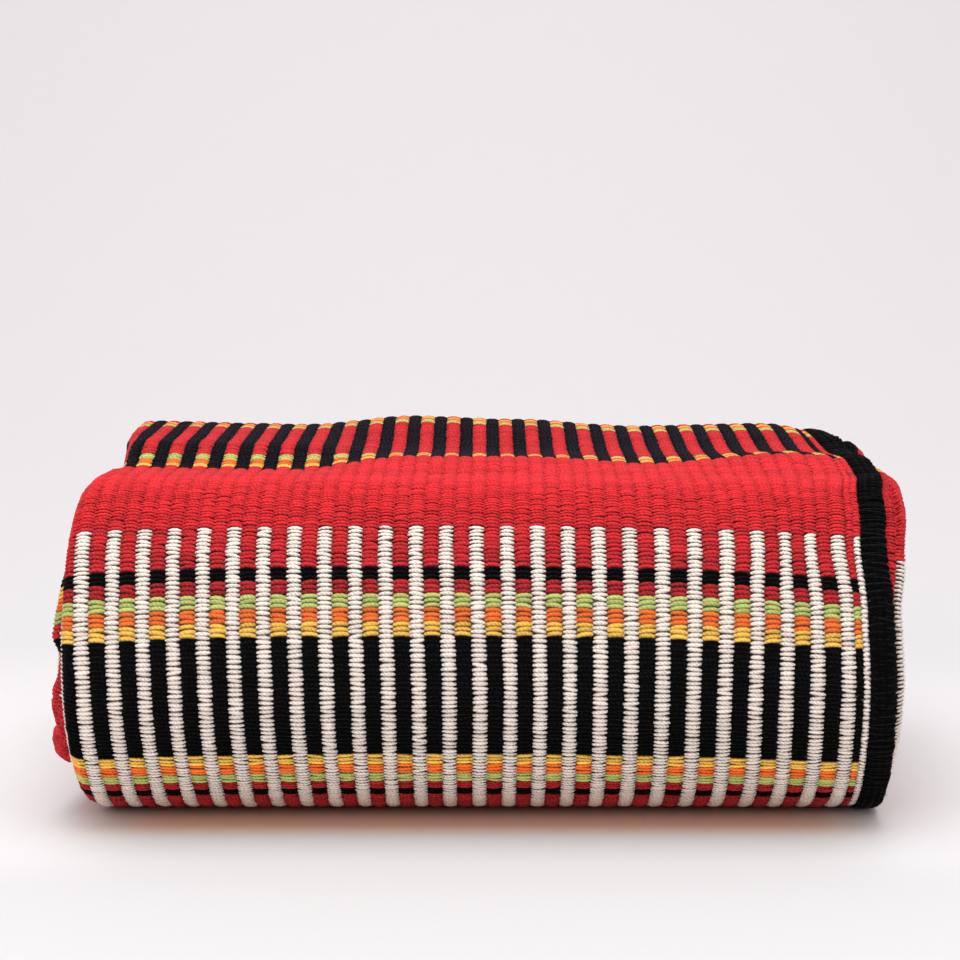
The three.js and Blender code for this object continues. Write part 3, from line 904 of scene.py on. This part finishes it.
# %% Yarn pieces
def lay_yarn(name, yarn, chosen):
    """One piece of weft: every chosen float with its loose fibres, closed and joined in one mesh."""
    points, shade, turn = yarn_points(chosen)
    hairs = turned_alike(loose_fibres(chosen))
    starts = len(float_a) * np.arange(chosen.sum())
    hair_starts = len(points) + 4 * np.arange(len(hairs) // 4)
    faces = (starts[:, None, None] + float_faces).reshape(-1, 3)
    spikes = (hair_starts[:, None, None] + hair_faces).reshape(-1, 3)
    shade = np.concatenate([shade, np.full(len(hairs), 0.8)])
    turn = np.concatenate([turn, np.zeros((len(hairs), 2))])
    # The black on the top of the pile takes the paler black: painted light.
    finish = painted_sheen_black if name == "weft_black_top" else wool_of[yarn]
    return make_piece(name, np.concatenate([points, hairs]), np.concatenate([faces, spikes]), finish,
                      shade, turn)


visible = in_view(length) & (kind != RIGHT_FOLD)
at_front = visible & (length > FRONT_BEGIN) & (length < row_start[FRONT_TURN + 1])
zones = {"_front": at_front, "_top": visible & ~at_front, "_folds": ~visible}
for code, yarn in enumerate(YARNS):
    for zone, inside in zones.items() if yarn in ("red", "black") else [("", length > 0)]:
        lay_yarn("weft_" + yarn + zone, yarn, (float_colour == code) & inside)

# %% [markdown]
# ## The bound edge
# The long edge is overcast: black wool goes round and round the edge of the cloth, stitch beside stitch.
# A slim core, the cloth's own edge, carries the wraps. It is a tube with an oblong section.

# %% Core of the bound edge
BOUND_HALF_WIDTH = 6.9
BOUND_HALF_HEIGHT = 3.0
OBLONG = 0.6
CORE_CORNERS = 12
CORE_STATIONS = 400
CORE_DEPTH = -0.9


def bound_point(angle, length, swell):
    """A point on the bound edge: a rounded oblong (the cosine and the sine raised to 0.6, so the corners fill
    out) round the edge of the outer third, grown by swell, carried along the strip."""
    _, _, edge = fold_lines(length)
    c, s = np.cos(angle), np.sin(angle)
    x = edge - BOUND_HALF_WIDTH + np.sign(c) * np.abs(c) ** OBLONG * (BOUND_HALF_WIDTH + swell)
    outward = OUTER_THIRD + np.sign(s) * np.abs(s) ** OBLONG * (BOUND_HALF_HEIGHT + swell)
    y, z, out_y, out_z = along(length)
    return settle(x, y + out_y * outward, z + out_z * outward)


core_round = np.linspace(0, 2 * math.pi, CORE_CORNERS, endpoint=False)
core_station = np.linspace(0.5, cloth_length - 0.5, CORE_STATIONS)
core_points = bound_point(core_round[None, :], core_station[:, None], CORE_DEPTH)
core_index = np.arange(CORE_STATIONS * CORE_CORNERS).reshape(-1, CORE_CORNERS)


def quads_to_triangles(faces):
    """Each four-cornered face as two triangles."""
    return np.concatenate([faces[:, [0, 1, 2]], faces[:, [0, 2, 3]]])


def end_fan(loop):
    """Triangles that close a tube at one end, as a fan from its first corner."""
    return np.stack([np.full(len(loop) - 2, loop[0]), loop[1:-1], loop[2:]], axis=-1)


core_ends = [end_fan(core_index[0][::-1]), end_fan(core_index[-1])]
core_faces = np.concatenate([quads_to_triangles(tube_quads(core_index)), *core_ends])
print("core of the bound edge:", len(core_faces), "triangles")

# %% [markdown]
# ## Overcast stitches
# Each wrap is a closed loop round the core. Every second one leans the other way, so the stitches cross as
# they do when the needle goes forward on one face and back on the other, and short fibres stand off them.

# %% Wraps of the bound edge
WRAP_PITCH = 2.0
WRAP_CORNERS = 10
WRAP_HALF = 1.5
WRAP_CREST, WRAP_FLANK = 0.1, -0.65
wrap_count = int(cloth_length / WRAP_PITCH) - 1
wrap_length = WRAP_PITCH * (np.arange(wrap_count) + 1)
wrap_uneven = chance.normal(size=(4, wrap_count, 1, 1))
wrap_round = np.linspace(0, 2 * math.pi, WRAP_CORNERS, endpoint=False)[None, :, None]
wrap_side = np.array([-1.0, 0.0, 1.0])[None, None, :]
wrap_lean = 0.9 * (-1.0) ** np.arange(wrap_count)[:, None, None] + 0.5 * wrap_uneven[3]
wrap_swell = np.where(wrap_side == 0, WRAP_CREST, WRAP_FLANK) + 0.22 * wrap_uneven[0] + 0 * wrap_round
wrap_station = wrap_length[:, None, None] + wrap_side * (WRAP_HALF + 0.15 * wrap_uneven[1])
wrap_station = wrap_station + 0.4 * wrap_uneven[2] + wrap_lean * np.cos(wrap_round)
wrap_station = np.clip(wrap_station, 0.1, cloth_length - 0.1)
wrap_points = bound_point(wrap_round + 0 * wrap_station, wrap_station, wrap_swell)
loop_size = 3 * WRAP_CORNERS
loop_index = np.arange(loop_size).reshape(WRAP_CORNERS, 3)
loop_up = np.roll(loop_index, -1, axis=0)
loop_next = np.roll(loop_index, -1, axis=1)
loop_both = np.roll(loop_up, -1, axis=1)
loop_faces = quads_to_triangles(np.stack([loop_index, loop_up, loop_both, loop_next], axis=-1).reshape(-1, 4))
wrap_faces = (loop_size * np.arange(wrap_count)[:, None, None] + loop_faces).reshape(-1, 3)
wrap_shade = np.repeat(chance.random(wrap_count), loop_size)
wrap_turn = np.stack([np.broadcast_to(wrap_round * 2.6, wrap_station.shape),
                      np.broadcast_to(0.5 * wrap_side, wrap_station.shape)], axis=-1).reshape(-1, 2)
print("wraps round the bound edge:", wrap_count)

# %% [markdown]
# ## Fuzz on the edge
# Black wool shows its fluff against a pale floor, so the outline of the edge is a little hairy. The fibres
# are the same spikes as before, set at random round the edge, and core, wraps and fibres become one piece.

# %% Fuzz and the finished edge
FUZZ = 5000
fuzz_lean = chance.normal(size=(2, FUZZ, 1)) * hair_tip
fuzz_round = chance.uniform(0, 2 * math.pi, (FUZZ, 1)) + 0.25 * fuzz_lean[0]
fuzz_round = fuzz_round + 0.05 * (1 - hair_tip) * np.cos(hair_round)
fuzz_station = chance.uniform(2, cloth_length - 2, (FUZZ, 1)) + 0.8 * fuzz_lean[1]
fuzz_station = fuzz_station + hair_thick * np.sin(hair_round)
fuzz_swell = chance.uniform(0.3, 1.5, (FUZZ, 1)) * hair_tip - 0.2
fuzz_points = bound_point(fuzz_round, np.clip(fuzz_station, 0.5, cloth_length - 0.5), fuzz_swell)
fuzz_faces = (4 * np.arange(FUZZ)[:, None, None] + hair_faces).reshape(-1, 3)
bound_parts = [core_points.reshape(-1, 3), wrap_points.reshape(-1, 3), turned_alike(fuzz_points)]
core_count, wrap_points_count, fuzz_count = (len(part) for part in bound_parts)
binding = make_piece(
    "bound_edge", np.concatenate(bound_parts),
    np.concatenate([core_faces, wrap_faces + core_count, fuzz_faces + core_count + wrap_points_count]),
    wool_of["black"],
    shade=np.concatenate([np.zeros(core_count), wrap_shade, np.ones(fuzz_count)]),
    ply=np.concatenate([np.zeros((core_count, 2)), wrap_turn, np.zeros((fuzz_count, 2))]))
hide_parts("edge_binding")

# %% [markdown]
# ## One cloth
# The blanket is a sheet, and the yarns and the bound edge belong to the same cloth.

# %% [markdown]
# ## The floor
# A pale floor that curves up behind the blanket and far in front of it, so no edge of it shows from any side.
# Its outline is drawn once from the side, flat with two quarter bends, and carried across.

# %% Floor
FLOOR_HALF = 9
FLOOR_COLUMNS = 9
FLOOR_FRONT, FLOOR_BACK = -9, 1.5
FLOOR_BEND = 1.6
WALL_TOP = 3.4
floor_across = np.linspace(-FLOOR_HALF, FLOOR_HALF, FLOOR_COLUMNS)
floor_angle = np.linspace(0, math.pi / 2, 24)
floor_rise = FLOOR_BEND * np.stack([np.sin(floor_angle), 1 - np.cos(floor_angle)], axis=-1)[1:]
floor_profile = np.concatenate([
    np.array([[FLOOR_FRONT - FLOOR_BEND, WALL_TOP]]),
    (floor_rise * [-1, 1] + [FLOOR_FRONT, 0])[::-1],
    np.stack([np.linspace(FLOOR_FRONT, FLOOR_BACK, 12), np.zeros(12)], axis=-1),
    floor_rise + [FLOOR_BACK, 0],
    np.array([[FLOOR_BACK + FLOOR_BEND, WALL_TOP]])])
floor_shape = (len(floor_profile), FLOOR_COLUMNS)
floor_points = np.concatenate([
    np.broadcast_to(floor_across[None, :, None], (*floor_shape, 1)),
    np.broadcast_to(floor_profile[:, None, :], (*floor_shape, 2))], axis=-1).reshape(-1, 3)
floor_index = np.arange(len(floor_points)).reshape(floor_shape)
floor_faces = np.stack([floor_index[:-1, :-1], floor_index[:-1, 1:],
                        floor_index[1:, 1:], floor_index[1:, :-1]], axis=-1).reshape(-1, 4)
floor_mesh = bpy.data.meshes.new("floor")
floor_mesh.from_pydata(floor_points.tolist(), [], floor_faces.tolist())
floor_mesh.polygons.foreach_set("use_smooth", np.ones(len(floor_faces), dtype=bool))
print("floor faces:", len(floor_faces))

# %% [markdown]
# ## The floor's colours
# The floor is matt and plain. It is painted paler far away and beside the ends of the blanket, painted light
# that evens out where the lamps fall off and where the blanket shades the floor, and under the front it has a
# painted warm shadow, the shade and the red reflection of the wool.

# %% Zones on the floor
floor_material = bpy.data.materials.new("pale_floor")
floor_material.use_nodes = True
floor_shader = floor_material.node_tree.nodes["Principled BSDF"]
floor_tree = floor_material.node_tree


def smooth_range(value, low, high):
    """A value on the floor eased from 0 at low to 1 at high."""
    made = node(floor_tree, "ShaderNodeMapRange", interpolation_type="SMOOTHSTEP")
    made.inputs["From Min"].default_value = low
    made.inputs["From Max"].default_value = high
    floor_tree.links.new(value, made.inputs["Value"])
    return made.outputs["Result"]


def floor_zone(value, low, high, out_low, out_high):
    """A value on the floor eased from 0 at low to 1 at high, and back to 0 from out_low to out_high."""
    rising = smooth_range(value, low, high)
    return math_node(floor_tree, "SUBTRACT", rising, smooth_range(value, out_low, out_high))


print("floor material made:", floor_material.name)

# %% Floor finish
# The far and beside tones are painted light; the warm tone is a painted shadow and red reflection under the
# front.
NEAR_TONE = (0.685, 0.675, 0.685)
FAR_PAINTED_LIGHT = (0.88, 0.855, 0.865)
PAINTED_LIGHT_BESIDE = (0.88, 0.87, 0.88)
PAINTED_WARM_SHADOW = (0.82, 0.47, 0.30)
PAINTED_SHADOW_STRENGTH = 0.8
floor_place = node(floor_tree, "ShaderNodeTexCoord").outputs["Object"]
floor_axis = node(floor_tree, "ShaderNodeSeparateXYZ")
floor_tree.links.new(floor_place, floor_axis.inputs[0])
floor_away = node(floor_tree, "ShaderNodeVectorMath", operation="LENGTH")
floor_tree.links.new(floor_place, floor_away.inputs[0])
floor_blend = node(floor_tree, "ShaderNodeMapRange")
floor_blend.inputs["From Min"].default_value = 0.1
floor_blend.inputs["From Max"].default_value = 1.6
floor_tree.links.new(floor_away.outputs["Value"], floor_blend.inputs["Value"])
floor_side = math_node(floor_tree, "ABSOLUTE", floor_axis.outputs["X"], 0)
floor_depth = floor_axis.outputs["Y"]
painted_light_zone = math_node(floor_tree, "MULTIPLY", floor_zone(floor_side, 0.15, 0.22, 0.22, 0.5),
                        floor_zone(floor_depth, -0.25, -0.1, 0.05, 0.45))
painted_shadow_zone = math_node(floor_tree, "MULTIPLY", floor_zone(floor_side, -0.2, -0.1, 0.15, 0.22),
                        floor_zone(floor_depth, -0.15, -0.115, -0.02, 0.05))
floor_tone = mix_node(floor_tree, floor_blend.outputs["Result"], NEAR_TONE, FAR_PAINTED_LIGHT)
floor_tone = mix_node(floor_tree, painted_light_zone, floor_tone, PAINTED_LIGHT_BESIDE)
painted_shadow_mix = math_node(floor_tree, "MULTIPLY", painted_shadow_zone, PAINTED_SHADOW_STRENGTH)
floor_tone = mix_node(floor_tree, painted_shadow_mix, floor_tone, PAINTED_WARM_SHADOW)
floor_tree.links.new(floor_tone, floor_shader.inputs["Base Color"])
floor_shader.inputs["Roughness"].default_value = 0.7
floor_shader.inputs["Specular IOR Level"].default_value = 0.2
floor_mesh.materials.append(floor_material)
floor = bpy.data.objects.new("floor", floor_mesh)
bpy.context.scene.collection.objects.link(floor)
floor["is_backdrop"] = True
print("floor material has", len(floor_tree.nodes), "nodes")

# %% [markdown]
# ## The light
# The light comes softly from above and all round, so the ribs are shaded by one another more than by a lamp.
# A weaker lamp in front lifts the stripes, and one behind lights the wall.

# %% Light
scene = bpy.context.scene
scene.view_settings.view_transform = "Standard"
scene.world = scene.world or bpy.data.worlds.new("studio")
scene.world.use_nodes = True
sky = scene.world.node_tree.nodes["Background"]
sky.inputs["Color"].default_value = (1.0, 0.985, 0.985, 1)
sky.inputs["Strength"].default_value = 0.70


def soft_box(name, place, aim, size, power):
    """A square lamp at a place, turned to face a point, in metres and watts."""
    data = bpy.data.lights.new(name, "AREA")
    data.size = size
    data.energy = power
    lamp = bpy.data.objects.new(name, data)
    lamp.location = place
    direction = np.array(aim, dtype=float) - np.array(place, dtype=float)
    lamp.rotation_euler = (math.atan2(math.hypot(direction[0], direction[1]), -direction[2]), 0,
                           math.atan2(direction[1], direction[0]) - math.pi / 2)
    scene.collection.objects.link(lamp)
    return lamp


soft_box("top_light", (0.0, -0.35, 1.8), (0, 0, 0.1), 1.6, 22)
soft_box("front_light", (-0.5, -1.8, 1.1), (0, 0, 0.1), 1.2, 9.5)
soft_box("wall_light", (0.0, 1.2, 2.2), (0, 3.0, 0.9), 1.5, 6)

# %% Print the sizes
now_low, now_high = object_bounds()
boxes = 1000 * np.array([cad_low, cad_high, now_low, now_high])
print("boxes in mm, CAD and dressed:", np.round(boxes, 1).tolist())
